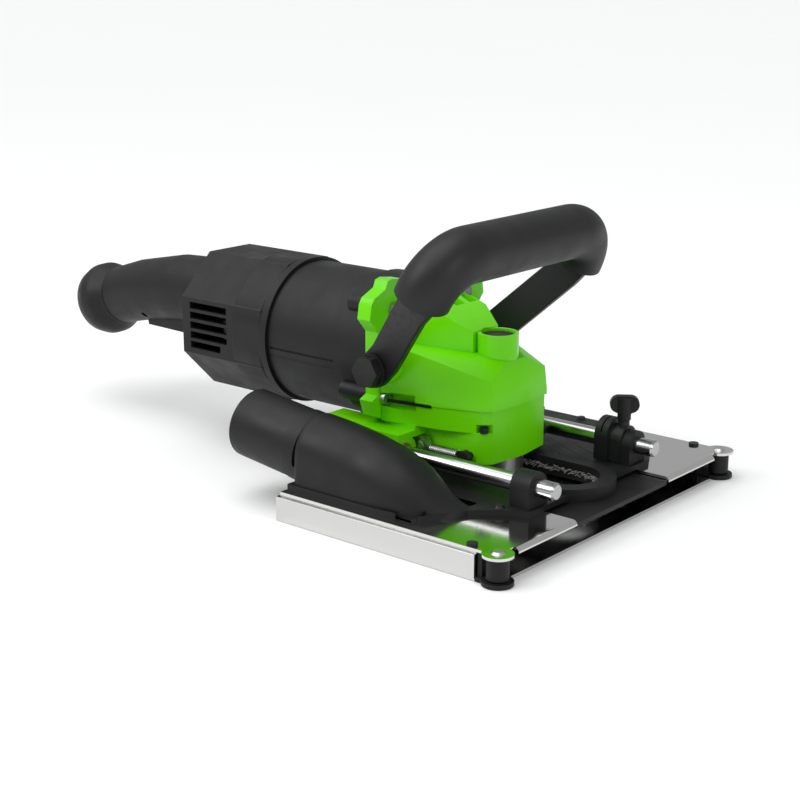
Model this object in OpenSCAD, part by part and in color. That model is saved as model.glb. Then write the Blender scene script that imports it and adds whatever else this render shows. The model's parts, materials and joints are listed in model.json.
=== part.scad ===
// Wall chaser with a flat-lying saw blade.
// The motor unit slides on two rods fixed to a thin stainless base.
// +X is the cutting direction, +Y the far side, +Z up.
// The origin is the centre of the floor plate's underside.

/* [Base] */
// Length of the floor plate, back to front
base_len = 152; // [146:1:170]
// Width of the base over its side walls
base_w = 234; // [225:1:260]
// Height of the tray's side walls
wall_h = 14.2; // [13.5:0.1:17]
// Thickness of the stainless sheet
sheet_t = 1.5; // [1:0.1:2]
// Distance from the front edge back to the end of the side walls
wall_setback = 12.6; // [11:0.1:16]
// Outer radius of a corner roller
roller_r = 6; // [5:0.1:7]
// Distance of the roller axes from the centre plane
roller_y = 112.5; // [108:0.5:116]

/* [Hood] */
// Height of the flat deck of the hood over the cover plate
deck_t = 3; // [2.4:0.1:4]
// Half width of the arbor window
window_r = 19; // [18.5:0.1:22]
// Wall of the ring round the arbor window
ring_t = 9; // [5:0.5:10]
// Height of the ring's top over the floor
ring_top = 22.5; // [21.5:0.1:24]
// Outer diameter of the dust port
port_d = 41; // [36:0.5:44]
// Wall of the dust port
port_t = 2.5; // [2:0.1:3.5]
// Length of the dust port outside the duct
port_len = 53; // [40:1:70]
// Upward tilt of the dust port, degrees
port_tilt = 7; // [0:1:10]

/* [Guide] */
// Diameter of the guide rods
rod_d = 10; // [8:0.5:12]
// Distance of the rods from the centre plane
rod_y = 50; // [49:0.5:54]
// Height of the rod axes over the floor
rod_z = 30.7; // [29.5:0.1:33]
// Travel of the motor unit
travel = 50; // [40:1:50]

/* [Blade] */
// Diameter of the saw blade
blade_d = 125; // [100:1:125]
// Thickness of the blade's core
blade_t = 2; // [1.6:0.1:2.6]
// Height of the blade's middle plane over the floor
blade_z = 8; // [7.5:0.1:9]
// Place of the spindle axis along the base, motor unit drawn back
spindle_x = -10; // [-12:0.5:-8]

/* [Gear case] */
// Height of the parting plane of the gear case
split_z = 58.3; // [56:0.1:62]
// Half width of the gear case at the motor end
case_y = 45; // [44:0.5:48]
// Outer radius of the boss on top
boss_r = 12; // [11:0.1:14]
// Height of the boss's rim over the floor
boss_top = 97.4; // [96:0.1:102]

/* [Motor] */
// Height of the motor axis over the floor
motor_z = 77.5; // [76:0.1:80]
// Outer radius of the motor housing
motor_r = 44; // [42:0.5:45]
// Wall of the motor housing
motor_t = 3; // [2.5:0.1:4]
// Length of the motor housing behind the gear case
motor_len = 88; // [80:1:100]
// Half width across the flats of the rear housing
rear_r = 43.5; // [42:0.5:46]
// Length of the rear housing
rear_len = 70.5; // [66:0.5:85]

/* [Handles] */
// Radius of the stick handle at the motor
stick_r = 23; // [20:0.5:24]
// Radius of the knob at the stick handle's end
knob_r = 25; // [23:0.5:28]
// Length of the bail handle's flat arms from their pivot
arm_len = 71; // [60:0.5:85]
// Forward lean of the arms, degrees
arm_lean = 44.5; // [35:0.5:50]
// Forward lean of the grip at the arms' ends, degrees
grip_lean = 27; // [20:1:35]
// Half distance between the ends of the bail grip
bail_y = 73; // [66:0.5:80]
// Radius of the bail's rubber grip
grip_r = 16; // [14:0.1:17]

/* [Hidden] */
$fn = 48;
// Smallest overlap that lets a cut pass a face
eps = 0.01;
// Gap between pieces that are seated but not pressed
seat = 0.3;
// Radial clearance of a running fit
run = 0.05;

// Base
base_x0 = -base_len / 2;
base_x1 = base_len / 2;
wall_x1 = base_x1 - wall_setback;
roller_x = base_x1 - 1;
cover_top = wall_h + 2.6;
cover_bot = cover_top - sheet_t;
cover_y = base_w / 2 - sheet_t - seat;
ear_r = 8.5;
pin_r = 2.5;
lip_y0 = 47;
lip_y1 = 100;
lip_r = 3;
roller_z0 = 2.8;
roller_z1 = cover_bot - seat;

// Hood
deck_top = cover_top + deck_t;
deck_y = 108;
hood_x0 = base_x0 + 1.5;
ring_x0 = spindle_x;
ring_x1 = spindle_x + travel;
apron_top = cover_bot - 0.6;
apron_bot = apron_top - 2.5;
duct_y = -(deck_y - 1 - port_d / 2);
duct_wall = 2.5;
port_x = base_x0 + 6;
port_z = 35;
port_r = port_d / 2;
port_neck = 11;
post_x0 = 42.5;
post_x1 = 55.2;
post_r = 8.5;
rod_r = rod_d / 2;
rod_x0 = -92;
rod_x1 = post_x1 + 12.3;

// Carriage
sleeve_r = 10.5;
sleeve_x0 = -100;
sleeve_x1 = -38;
bush_t = 1.5;
bush_len = 14;
house_bot = 27;
neck_r = 16;
neck_bot = 14.5;
spring_y = 36;
spring_z = 32;
spring_r = 3.2;
spring_nut = 13;
arm_z0 = spring_z + spring_nut / 2 + seat;
arm_z1 = arm_z0 + 3.8;
anchor_x = -37.5;
spring_bolt_x = -5;
stop_x0 = sleeve_x1 + travel + 20;
stop_gap = 0.3;
far_sleeve_x1 = stop_x0 - stop_gap - travel;
stop_len = 17;
stop_screw_x = stop_x0 + 13.5;
stop_top = rod_z + 14;
far_post_x0 = stop_x0 + stop_len + 0.3;

// Gear case
flange_x0 = -70.5;
flange_x1 = -61;
gear_r = 15.5;
gear_z = 61;
bail_x = -57;
bail_z = 78;
lug_y = 50.6;
case_wall = 3.5;

// Motor
motor_x1 = flange_x0;
motor_x0 = motor_x1 - motor_len;
rear_x1 = motor_x0;
rear_x0 = rear_x1 - rear_len;
shaft_r = 6;
front_bearing_r = 16;
front_bearing_w = 9;
rear_bearing_r = 11;
rear_bearing_w = 7;
rear_bearing_x = rear_x0 + 8;
core_r = 23.3;
stator_r0 = 24;
stator_x0 = motor_x0 + 12;
stator_x1 = motor_x1 - 26;
fan_x0 = motor_x1 - 15;
coil_r = motor_r - motor_t - 3;
fan_r = motor_r - motor_t - 4;
pinion_x0 = -40;
pinion_x1 = spindle_x - 8.5;

// Handle, as ring centres along the stick: [x, z, radius, downward slope]
stick = [
    [rear_x0, motor_z + 12.5, stick_r, 0],
    [rear_x0 - 42, motor_z + 11, stick_r - 0.5, 5],
    [rear_x0 - 82, motor_z + 4.5, stick_r - 2, 12],
    [rear_x0 - 106, motor_z - 2, stick_r - 3, 17]];
shell_t = 2.5;
knob_slope = stick[3][3];
knob_x = stick[3][0] - 1.3 * cos(knob_slope);
knob_z = stick[3][1] - 1.3 * sin(knob_slope);
trigger_x = rear_x0 - 76;
trigger_z = motor_z - 10.5;

// Bail
bail_bend = 24.7;
core_r_bail = 7;
arm_t = 5;
arm_w = 21;

// ---------- shared shapes ----------
module rod_along_x(x0, x1, r) {
    translate([x0, 0, 0]) rotate([0, 90, 0]) cylinder(r = r, h = x1 - x0);
}

module rod_along_y(y0, y1, r) {
    translate([0, y1, 0]) rotate([90, 0, 0]) cylinder(r = r, h = y1 - y0);
}

module tube_along_x(x0, x1, r, r_in) {
    difference() {
        rod_along_x(x0, x1, r);
        rod_along_x(x0 - 1, x1 + 1, r_in);
    }
}

module ring(r, r_in, h) {
    difference() {
        cylinder(r = r, h = h);
        translate([0, 0, -1]) cylinder(r = r_in, h = h + 2);
    }
}

// Stadium from x0 to x1 with half width r
module stadium(x0, x1, r) {
    translate([x0, 0]) circle(r = r);
    translate([x1, 0]) circle(r = r);
    translate([x0, -r]) square([x1 - x0, 2 * r]);
}

module both_sides() {
    children();
    mirror([0, 1, 0]) children();
}

// ---------- base ----------
module base_tray() {
    color("gainsboro") difference() {
        union() {
            translate([base_x0, -base_w / 2, 0]) cube([base_len, base_w, sheet_t]);
            both_sides() translate([base_x0, base_w / 2 - sheet_t, 0])
                cube([wall_x1 - base_x0, sheet_t, wall_h]);
            translate([base_x0, -base_w / 2, 0]) cube([sheet_t, base_w, wall_h]);
        }
        // The floor stops short of the moulded corner blocks
        both_sides() translate([wall_x1 + seat, roller_y - ear_r - 2, -1])
            cube([wall_setback + 2, base_w / 2 - roller_y + ear_r + 3, sheet_t + 2]);
    }
}

module cover_outline() {
    translate([base_x0 + sheet_t + seat, -cover_y])
        square([base_len - sheet_t - seat, 2 * cover_y]);
    both_sides() translate([roller_x, roller_y]) circle(r = ear_r);
}

// Opening under the hood, open to the front between the rolled lips
module cover_opening() {
    x0 = hood_x0 + 8;
    y1 = deck_y - 7;
    polygon([[x0, -y1], [2, -y1], [22, -78], [36, -62], [38, -lip_y0], [base_x1 + 20, -lip_y0],
        [base_x1 + 20, lip_y0], [38, lip_y0], [38, 78], [12, y1], [x0, y1]]);
}

module top_plate() {
    color("silver") difference() {
        union() {
            translate([0, 0, cover_bot]) linear_extrude(sheet_t) difference() {
                cover_outline();
                cover_opening();
                // Way out for the dust port at the rear edge
                translate([base_x0 - 4, duct_y - port_r - 0.5])
                    square([port_x - base_x0 + 20, port_d + 1]);
            }
            // Side lips stand on the tray floor
            both_sides() translate([base_x0 + sheet_t + seat, cover_y - sheet_t, sheet_t])
                cube([wall_x1 - base_x0 - sheet_t - seat, sheet_t, cover_bot - sheet_t + eps]);
            // Rolled front lips
            both_sides() translate([base_x1 - eps, lip_y0, cover_top - lip_r])
                rotate([-90, 0, 0]) rotate_extrude_quarter(lip_y1 - lip_y0);
        }
        both_sides() translate([roller_x, roller_y, 0]) cylinder(r = pin_r, h = cover_top + 1);
        for (p = plate_screw_points) translate([p[0], p[1], 0]) cylinder(r = 1.6, h = cover_top + 1);
        for (p = hood_screw_points) translate([p[0], p[1], 5]) cylinder(r = 1.6, h = cover_top);
    }
}

// Quarter-round sheet lip, swept over a length
module rotate_extrude_quarter(len) {
    linear_extrude(len) intersection() {
        difference() {
            circle(r = lip_r);
            circle(r = lip_r - sheet_t);
        }
        translate([0, -lip_r]) square([lip_r, lip_r]);
    }
}

plate_screw_points = [[base_x1 - 18, roller_y - 1], [base_x1 - 18, -roller_y + 1]];

// Moulded blocks behind and under the rollers
module corner_blocks() {
    y0 = roller_y - ear_r - 1.7;
    color([0.16, 0.16, 0.17]) both_sides() difference() {
        union() {
            translate([wall_x1 + 0.6, y0, 0]) cube([wall_setback - 8.4, base_w / 2 - y0, 2.4]);
            translate([wall_x1 + 0.6, y0, 0])
                cube([wall_setback - 9.6, cover_y - y0 - 0.2, cover_bot]);
            translate([roller_x, roller_y, 0]) cylinder(r = ear_r, h = 2.4);
            translate([roller_x - ear_r, y0, 0]) cube([ear_r, base_w / 2 - y0, 2.4]);
        }
        translate([roller_x, roller_y, -1]) cylinder(r = pin_r, h = cover_top);
        translate([roller_x, roller_y, 2.4]) cylinder(r = roller_r + 0.8, h = cover_top);
    }
}

module plate_screws() {
    color("dimgray") for (p = plate_screw_points) translate([p[0], p[1], 0]) {
        translate([0, 0, cover_bot - 6]) cylinder(r = 1.6, h = 6 + sheet_t);
        translate([0, 0, cover_top]) cylinder(r = 3, h = 1.3);
    }
}

module roller_pins() {
    color("silver") both_sides() translate([roller_x, roller_y, 0]) {
        cylinder(r = pin_r, h = cover_top);
        translate([0, 0, cover_top]) cylinder(r1 = 4, r2 = 2.8, h = 1.2);
    }
}

module roller_body() {
    translate([0, 0, roller_z0]) difference() {
        cylinder(r = roller_r, h = roller_z1 - roller_z0);
        translate([0, 0, -1]) cylinder(r = pin_r + run, h = roller_z1);
    }
}

module roller_near() {
    color([0.2, 0.2, 0.2]) translate([roller_x, -roller_y, 0]) roller_body();
}

module roller_far() {
    color([0.2, 0.2, 0.2]) translate([roller_x, roller_y, 0]) roller_body();
}

// ---------- hood ----------
module deck_outline() {
    polygon([[hood_x0, -deck_y - 1], [-7, -deck_y - 1], [18, -104], [29, -79], [44, -66],
        [post_x1 + 2, -60],
        [post_x1 + 2, 60], [44, 84], [14, deck_y + 1], [hood_x0, deck_y + 1]]);
}

// Outer form of the dust duct, shrunk by g for the inside
module duct_form(g) {
    hull() {
        translate([port_x, duct_y, port_z]) rod_along_x(-g, 2, port_r - g, $fn = 32);
        translate([port_x - g, duct_y - port_r + g, cover_top]) cube([2, port_d - 2 * g, 2]);
        translate([-8, duct_y, port_z - 7.5]) rod_along_x(0, 2 - g / 2, port_r - g, $fn = 32);
        translate([-8, duct_y - port_r + g, cover_top]) cube([22 - g, port_d - 2 * g, 2]);
        translate([9, duct_y + 2, port_z - 17]) rod_along_x(0, 2 - g / 2, 17 - g, $fn = 32);
        translate([26 - g, duct_y + 4, cover_top]) cube([2, port_r - 4 - g, 2]);
    }
}

module dust_hood() {
    port_axis = [port_x, duct_y, port_z];
    color([0.17, 0.17, 0.18]) difference() {
        union() {
            translate([0, 0, cover_top]) linear_extrude(deck_t) deck_outline();
            translate([0, 0, apron_bot]) linear_extrude(ring_top - apron_bot)
                stadium(ring_x0, ring_x1, window_r + ring_t);
            // Apron that closes the front between the rolled lips
            translate([38.5, -lip_y0 + 0.5, apron_bot])
                cube([base_x1 + 2 - 38.5, 2 * lip_y0 - 1, apron_top - apron_bot]);
            translate([38.5, -lip_y0 + 0.5, apron_bot]) cube([3, 2 * lip_y0 - 1, deck_top - apron_bot]);
            mirror([0, 1, 0]) rod_post(post_x0);
            rod_post(far_post_x0);
            intersection() {
                duct_form(0);
                translate([port_x, -base_w, cover_top]) cube([base_len, base_w, 60]);
            }
            // Socket collar for the dust port
            translate(port_axis) rotate([0, port_tilt, 0]) rod_along_x(-2, 14, port_r + 0.8);
        }
        // Dust way inside the duct, down to the tray
        difference() {
            translate([0, 0, -0.5]) duct_form(duct_wall);
            translate([port_x - 4, -200, -1]) cube([10, 400, 200]);
        }
        translate(port_axis) rotate([0, port_tilt, 0]) {
            rod_along_x(-5, 22, port_r - port_t);
            rod_along_x(-20, -2, port_r + 0.5 + seat);
        }
        translate([port_x + 8, duct_y - port_r + duct_wall, cover_bot])
            cube([78, port_d - 2 * duct_wall, deck_t + 3]);
        // Arbor window
        translate([0, 0, apron_bot - 1]) linear_extrude(ring_top) stadium(ring_x0, ring_x1, window_r);
        // Rod bores
        both_sides() translate([0, rod_y, rod_z]) rod_along_x(post_x0 - 1, post_x1 + 1, rod_r);
        both_sides() translate([(far_post_x0 + post_x1) / 2, rod_y, cover_top - 3])
            cylinder(r = 2, h = rod_z - cover_top);
        for (p = hood_screw_points) translate([p[0], p[1], cover_bot]) cylinder(r = 1.6, h = 10);
        both_sides() translate([anchor_x, spring_y, cover_top - 1]) cylinder(r = 3, h = 12);
    }
}

module rod_post(x0) {
    translate([x0, rod_y, 0]) rotate([90, 0, 90]) linear_extrude(post_x1 - x0) {
        translate([0, rod_z]) circle(r = post_r);
        translate([-post_r, cover_top]) square([2 * post_r, rod_z - cover_top]);
    }
}

module dust_port() {
    color([0.18, 0.18, 0.19]) translate([port_x, duct_y, port_z]) rotate([0, port_tilt, 0]) {
        tube_along_x(-port_len, -port_neck, port_r, port_r - port_t);
        // Shoulder that stops the hose cuff
        tube_along_x(-port_neck - eps, -2, port_r + 0.5, port_r - port_t);
        tube_along_x(-2 - eps, 12, port_r - port_t, port_r - 2 * port_t);
    }
}

hood_screw_points = [[hood_x0 + 4, -60], [hood_x0 + 4, 60], [-20, deck_y - 3], [hood_x0 + 4, 0],
    [46, 74], [40, -64], [24, 96]];

module hood_screws() {
    color("dimgray") for (p = hood_screw_points) translate([p[0], p[1], 0]) {
        translate([0, 0, cover_bot]) cylinder(r = 1.6, h = deck_top - cover_bot);
        translate([0, 0, deck_top]) cylinder(r1 = 3.2, r2 = 2.2, h = 1.6);
    }
}

module guide_rod_near() {
    color("lightgray") translate([0, -rod_y, rod_z]) guide_rod();
}

module guide_rod_far() {
    color("lightgray") translate([0, rod_y, rod_z]) guide_rod();
}

module guide_rod() {
    rod_along_x(rod_x0 + 1, rod_x1 - 1, rod_r);
    translate([rod_x1 - 1, 0, 0]) rotate([0, 90, 0]) cylinder(r1 = rod_r, r2 = rod_r - 1, h = 1);
    translate([rod_x0 + 1, 0, 0]) rotate([0, -90, 0]) cylinder(r1 = rod_r, r2 = rod_r - 1, h = 1);
}

// Grub screws under the rods, inside the posts
module rod_set_screws() {
    color("dimgray") both_sides() translate([(far_post_x0 + post_x1) / 2, rod_y, cover_top])
        cylinder(r = 2, h = rod_z - rod_r - cover_top);
}

module front_brush() {
    color("gray") translate([base_x1 - 5, -lip_y0 + 2, blade_z + blade_t / 2 + 0.8])
        cube([2, 2 * lip_y0 - 4, apron_bot - blade_z - blade_t / 2 - 0.8]);
}

module window_brush() {
    color("gray") translate([0, 0, ring_top - 8]) linear_extrude(5) difference() {
        stadium(ring_x0, ring_x1, window_r);
        stadium(ring_x0, ring_x1, window_r - 2);
    }
}

// Studs with hex nuts that hold the rear ends of the springs
module spring_anchors() {
    color("silver") both_sides() translate([anchor_x, spring_y, 0]) {
        translate([0, 0, cover_top]) cylinder(r = 3, h = spring_z - spring_nut / 2 - cover_top + 0.2);
        translate([0, 2.5, spring_z]) rotate([90, 0, 0])
            cylinder(r = spring_nut / 2 / cos(30), h = 5, $fn = 6);
        translate([0, 0, spring_z]) rod_along_y(-2.9, 2.9, 4);
    }
}

// Closely wound extension spring, drawn as its outer tube
module return_spring() {
    translate([0, spring_y, spring_z])
        tube_along_x(anchor_x + spring_nut / 2 / cos(30) + seat, spring_bolt_x - 4 - seat, spring_r,
            spring_r - 1);
}

module return_spring_near() {
    color("silver") mirror([0, 1, 0]) return_spring();
}

module return_spring_far() {
    color("silver") return_spring();
}

// ---------- depth stop ----------
module depth_stop() {
    flange = 8.5;
    color([0.12, 0.12, 0.12]) translate([stop_x0, rod_y, 0]) difference() {
        union() {
            rotate([90, 0, 90]) linear_extrude(flange) stop_outline(10.5, rod_z + 3.5);
            translate([flange - eps, 0, 0]) rotate([90, 0, 90]) linear_extrude(stop_len - flange + eps)
                stop_outline(8.5, rod_z + 2);
            translate([stop_screw_x - stop_x0, 0, rod_z]) cylinder(r = 3.4, h = stop_top - rod_z - 0.4);
        }
        translate([0, 0, rod_z]) rod_along_x(-1, stop_len + 1, rod_r + run);
        translate([flange / 2 - 0.5, -11, rod_z + rod_r + 1.5]) cube([1, 22, 12]);
        translate([stop_screw_x - stop_x0, 0, rod_z]) cylinder(r = 2 + run, h = 20);
    }
}

module stop_outline(r, z) {
    translate([0, z]) circle(r = r);
    translate([-r, deck_top + 0.5]) square([2 * r, z - deck_top - 0.5]);
}

module depth_stop_screw() {
    color([0.1, 0.1, 0.1]) translate([stop_screw_x, rod_y, 0]) {
        translate([0, 0, rod_z + rod_r + 0.3]) cylinder(r = 2, h = stop_top - rod_z - rod_r + 1);
        translate([0, 0, stop_top]) cylinder(r = 4, h = 4);
        translate([0, 0, stop_top + 4 - eps]) cylinder(r = 4.8, h = 9.5);
        // Wings, rounded at their tips
        rotate([0, 0, 35]) translate([0, 2.5, stop_top + 9.2]) rotate([90, 0, 0]) linear_extrude(5)
            stadium(-3.6, 3.6, 5);
    }
}

// ---------- carriage ----------
// Plan of the gear head; g is taken off every side
module head_plan(g) {
    polygon([[flange_x1 + 0.3, -case_y + g], [-22, -38 + g], [1, -30.5 + g], [7 - g, -26 + g],
        [10 - g, 0], [7 - g, 26 - g], [1, 30.5 - g], [-22, 38 - g], [flange_x1 + 0.3, case_y - g]]);
}

module foot_plan() {
    y = spring_y - spring_r - 0.8;
    polygon([[flange_x1 + 0.3, -y], [-1, -y + 1], [6, -25], [9, 0], [6, 25], [-1, y - 1],
        [flange_x1 + 0.3, y]]);
}

module carriage_housing() {
    color([0.36, 0.76, 0]) difference() {
        union() {
            translate([0, 0, house_bot]) linear_extrude(18) foot_plan();
            // Shoulders over the springs, wide at the motor end
            both_sides() translate([flange_x1 + 0.3, 20, arm_z0])
                cube([-38 - flange_x1, 21, 45 - arm_z0 + eps]);
            translate([0, 0, house_bot + 18 - eps]) linear_extrude(split_z - house_bot - 18)
                head_plan(1);
            translate([0, -rod_y, rod_z]) rod_along_x(sleeve_x0, sleeve_x1, sleeve_r);
            translate([0, rod_y, rod_z]) rod_along_x(sleeve_x0, far_sleeve_x1, sleeve_r);
            // Arms that tie the sleeves to the housing
            both_sides() translate([sleeve_x0, spring_y - 3, arm_z0])
                cube([sleeve_x1 - sleeve_x0, rod_y - spring_y + 9, arm_z1 - arm_z0]);
            both_sides() translate([sleeve_x0, rod_y - 6, rod_z + 6])
                cube([sleeve_x1 - sleeve_x0, 12, arm_z1 - rod_z - 6]);
        }
        both_sides() translate([0, rod_y, rod_z])
            rod_along_x(sleeve_x0 - 1, far_sleeve_x1 + 1, rod_r + 0.5);
        for (x = bush_places(-1)) translate([x, -rod_y, rod_z])
            rod_along_x(-eps, bush_len + eps, rod_r + bush_t);
        for (x = bush_places(1)) translate([x, rod_y, rod_z])
            rod_along_x(-eps, bush_len + eps, rod_r + bush_t);
        // Gear room and bearing seat
        translate([spindle_x, 0, 52.5]) cylinder(r = gear_r + 0.8, h = 10);
        translate([spindle_x, 0, 41]) cylinder(r = 17.5, h = 11.5 + eps);
        translate([spindle_x, 0, house_bot - 1]) cylinder(r = 10, h = 20);
        // Rear room of the head, above the floor of the housing
        translate([flange_x1 + 6, -26, 40]) cube([-14 - flange_x1 - 17, 52, 30]);
        // Screw pockets at the front corners and by the lower flange screws
        both_sides() translate([-2, 25, 45.5]) cube([10, 12, 5]);
        for (p = flange_screw_points) translate([0, p[0], motor_z + p[1]])
            rod_along_x(flange_x1 - 1, -38, 4.8);
        both_sides() translate([spring_bolt_x, 0, spring_z]) rod_along_y(20, 40, 2);
        for (p = housing_screw_points) translate([p[0], p[1], house_bot - 1])
            cylinder(r = 1.9, h = 15);
    }
}

// Start of each bush in a sleeve; side -1 is near, 1 is far
function bush_places(side) = [sleeve_x0 + 3, (side < 0 ? sleeve_x1 : far_sleeve_x1) - bush_len];

module slide_bushes() {
    color("peru") {
        for (x = bush_places(-1)) translate([x, -rod_y, rod_z])
            tube_along_x(0, bush_len, rod_r + bush_t, rod_r + run);
        for (x = bush_places(1)) translate([x, rod_y, rod_z])
            tube_along_x(0, bush_len, rod_r + bush_t, rod_r + run);
    }
}

housing_screw_points = [for (a = [45, 135, 225, 315])
    [spindle_x + 13 * cos(a), 13 * sin(a)]];

// Round neck that holds the lower bearing and reaches through the window
module bearing_cap() {
    color("silver") translate([spindle_x, 0, 0]) difference() {
        translate([0, 0, neck_bot]) cylinder(r = neck_r, h = house_bot - neck_bot);
        translate([0, 0, neck_bot - 1]) cylinder(r = 9, h = house_bot);
        for (p = housing_screw_points) translate([p[0] - spindle_x, p[1], neck_bot - 1])
            cylinder(r = 1.9, h = house_bot);
    }
}

module housing_screws() {
    color("dimgray") for (p = housing_screw_points) translate([p[0], p[1], neck_bot + 2])
        cylinder(r = 1.9, h = house_bot - neck_bot + 12);
    color("dimgray") both_sides() translate([1.8, 27.6, 45.5]) cylinder(r = 2.4, h = 3.4);
}

module spring_bolts() {
    color([0.15, 0.15, 0.15]) both_sides() translate([spring_bolt_x, 0, spring_z]) {
        rod_along_y(20, spring_y - 1, 2);
        rod_along_y(spring_y - 1 - eps, spring_y + 2.8, 4);
    }
}

module flange_plan() {
    for (s = [-1, 1]) polygon([[-s, 41], [s * 14, 41], [s * 20.5, 44.9], [s * 23.7, 48],
        [s * 33.9, 49.5], [s * 37.7, 48.5], [s * 39.6, 44.2], [s * 49.6, 40], [s * 52, 36.5],
        [s * 53.4, 28], [s * 46.5, 20], [s * 46.5, -17.5], [s * 52, -20], [s * 48.8, -29.5],
        [s * 38.6, -33.9], [-s, -33.9]]);
}

// Four screws on a circle just outside the motor's bore, angles from straight up
flange_screw_r = motor_r + 1.9;
flange_screw_points = [for (a = [-46.3, 46.3, -114.9, 114.9]) [flange_screw_r * sin(a), flange_screw_r * cos(a)]];

module gear_case() {
    color([0.36, 0.76, 0]) difference() {
        union() {
            // Flange that takes the motor
            translate([flange_x0, 0, motor_z]) rotate([90, 0, 90])
                linear_extrude(flange_x1 - flange_x0) flange_plan();
            // Lower band, its drafted walls and the flat roof round the boss
            hull() {
                translate([0, 0, split_z]) linear_extrude(3) head_plan(0);
                translate([4, -25.5, 74]) cube([1.5, 51, 1]);
                translate([7, -8, 74]) cube([0.8, 16, 1]);
                translate([-19, -32, 79.3]) cube([1, 64, 1]);
                translate([-38, -39, 86]) cube([1, 78, 1]);
                translate([0, 0, 82]) linear_extrude(0.8) polygon([[2, -10], [2, 10], [-8, 20],
                    [-30, 24], [-30, -24], [-8, -20]]);
                translate([flange_x1 - eps, -44, split_z]) cube([1, 88, 34]);
            }
            // Shoulder of the roof, falling from the motor end to the boss
            hull() {
                translate([flange_x1 - 1, 0, motor_z]) rotate([0, 90, 0])
                    cylinder(r = 41, h = 1, $fn = 32);
                translate([-45, -21, motor_z]) cube([1, 42, 32.5]);
                translate([-35, -20, motor_z]) cube([1, 40, 29.5]);
                translate([-20, -12, motor_z]) cube([1, 24, 20.5]);
                translate([spindle_x - boss_r - 2, -9, split_z + 10]) cube([4, 18, 20]);
                translate([flange_x1, -30, split_z]) cube([20, 60, 4]);
            }
            translate([spindle_x, 0, split_z + 20]) cylinder(r = boss_r, h = boss_top - split_z - 20);
            both_sides() translate([bail_x, 0, bail_z]) rod_along_y(36, lug_y, 10);
        }
        translate([flange_x1, -60, 0]) cube([90, 120, split_z]);
        // Front bearing seat and shaft way
        translate([0, 0, motor_z]) rod_along_x(flange_x0 - 1, flange_x0 + front_bearing_w,
            front_bearing_r);
        translate([0, 0, motor_z]) rod_along_x(flange_x0, -36, 13);
        translate([0, 0, motor_z]) rod_along_x(-42, spindle_x, 9.5);
        // Gear room, upper bearing seat and button well
        translate([spindle_x, 0, split_z - 1]) cylinder(r = gear_r + 0.8, h = 13.5);
        translate([spindle_x, 0, split_z]) cylinder(r = 6, h = 22);
        translate([spindle_x, 0, 80]) cylinder(r = 7, h = 8);
        translate([spindle_x, 0, 80]) cylinder(r = 4, h = 14);
        translate([spindle_x, 0, 91]) cylinder(r = boss_r - 2.2, h = 10);
        // Vent windows in the roof
        for (y = [-15, -2, 11]) translate([-51, y, motor_z + 28]) cube([12, 8.5, 20]);
        for (p = flange_screw_points) translate([0, p[0], motor_z + p[1]])
            rod_along_x(flange_x0 - 1, flange_x1 + 1, 2.2);
        for (p = flange_screw_points) translate([0, p[0], motor_z + p[1]])
            rod_along_x(flange_x1, p[1] > 0 ? -30 : -38, 4.8);
        both_sides() translate([bail_x, 0, bail_z]) rod_along_y(40, lug_y + 1, 4);
    }
}

module flange_screws() {
    color("silver") for (p = flange_screw_points) translate([0, p[0], motor_z + p[1]]) {
        rod_along_x(flange_x0 - 8, flange_x1, 2.2);
        rod_along_x(flange_x1, flange_x1 + 3.5, 4);
    }
}

module lock_button() {
    color([0.13, 0.13, 0.14]) translate([spindle_x, 0, 0]) {
        translate([0, 0, 93.5]) cylinder(r = boss_r - 2.5, h = 2.6);
        translate([0, 0, 91]) cylinder(r = 2, h = 3);
    }
}

module lock_spring() {
    color("silver") translate([spindle_x, 0, 91]) ring(7, 6, 2.2);
}

// ---------- spindle ----------
module spindle() {
    color("lightgray") translate([spindle_x, 0, 0]) {
        translate([0, 0, 3.2]) cylinder(r = 7, h = 22);
        translate([0, 0, 25.2 - eps]) cylinder(r = 7.5, h = 32.8);
        translate([0, 0, 58]) cylinder(r = 6.5, h = 6);
        translate([0, 0, 64 - eps]) cylinder(r = 4, h = 24);
    }
}

module crown_gear() {
    teeth = 32;
    color("slategray") translate([spindle_x, 0, 0]) difference() {
        union() {
            translate([0, 0, gear_z - 3]) cylinder(r = gear_r - 1, h = 5);
            translate([0, 0, gear_z + 2 - eps]) cylinder(r = gear_r, h = 6.4);
            translate([0, 0, gear_z + 8.4 - 2 * eps]) cylinder(r1 = gear_r, r2 = 10.5, h = 1);
        }
        translate([0, 0, gear_z - 4]) cylinder(r = 6.5, h = 7);
        translate([0, 0, gear_z]) cylinder(r = 4, h = 20);
        for (i = [0 : teeth - 1]) rotate([0, 0, i * 360 / teeth])
            translate([11, -0.5, gear_z + 6]) cube([9, 1, 5]);
    }
}

module upper_bearing() {
    color("silver") translate([spindle_x, 0, 80]) ring(7, 4, 8);
}

module lower_bearing() {
    color("silver") translate([spindle_x, 0, 41.2]) ring(17.5, 7.5, 11);
}

module inner_flange() {
    color("gray") translate([spindle_x, 0, 0]) difference() {
        union() {
            translate([0, 0, blade_z + blade_t / 2]) cylinder(r = 15, h = 2.6);
            translate([0, 0, blade_z + blade_t / 2]) cylinder(r = 8.8, h = 16);
        }
        cylinder(r = 7, h = 40);
    }
}

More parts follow.
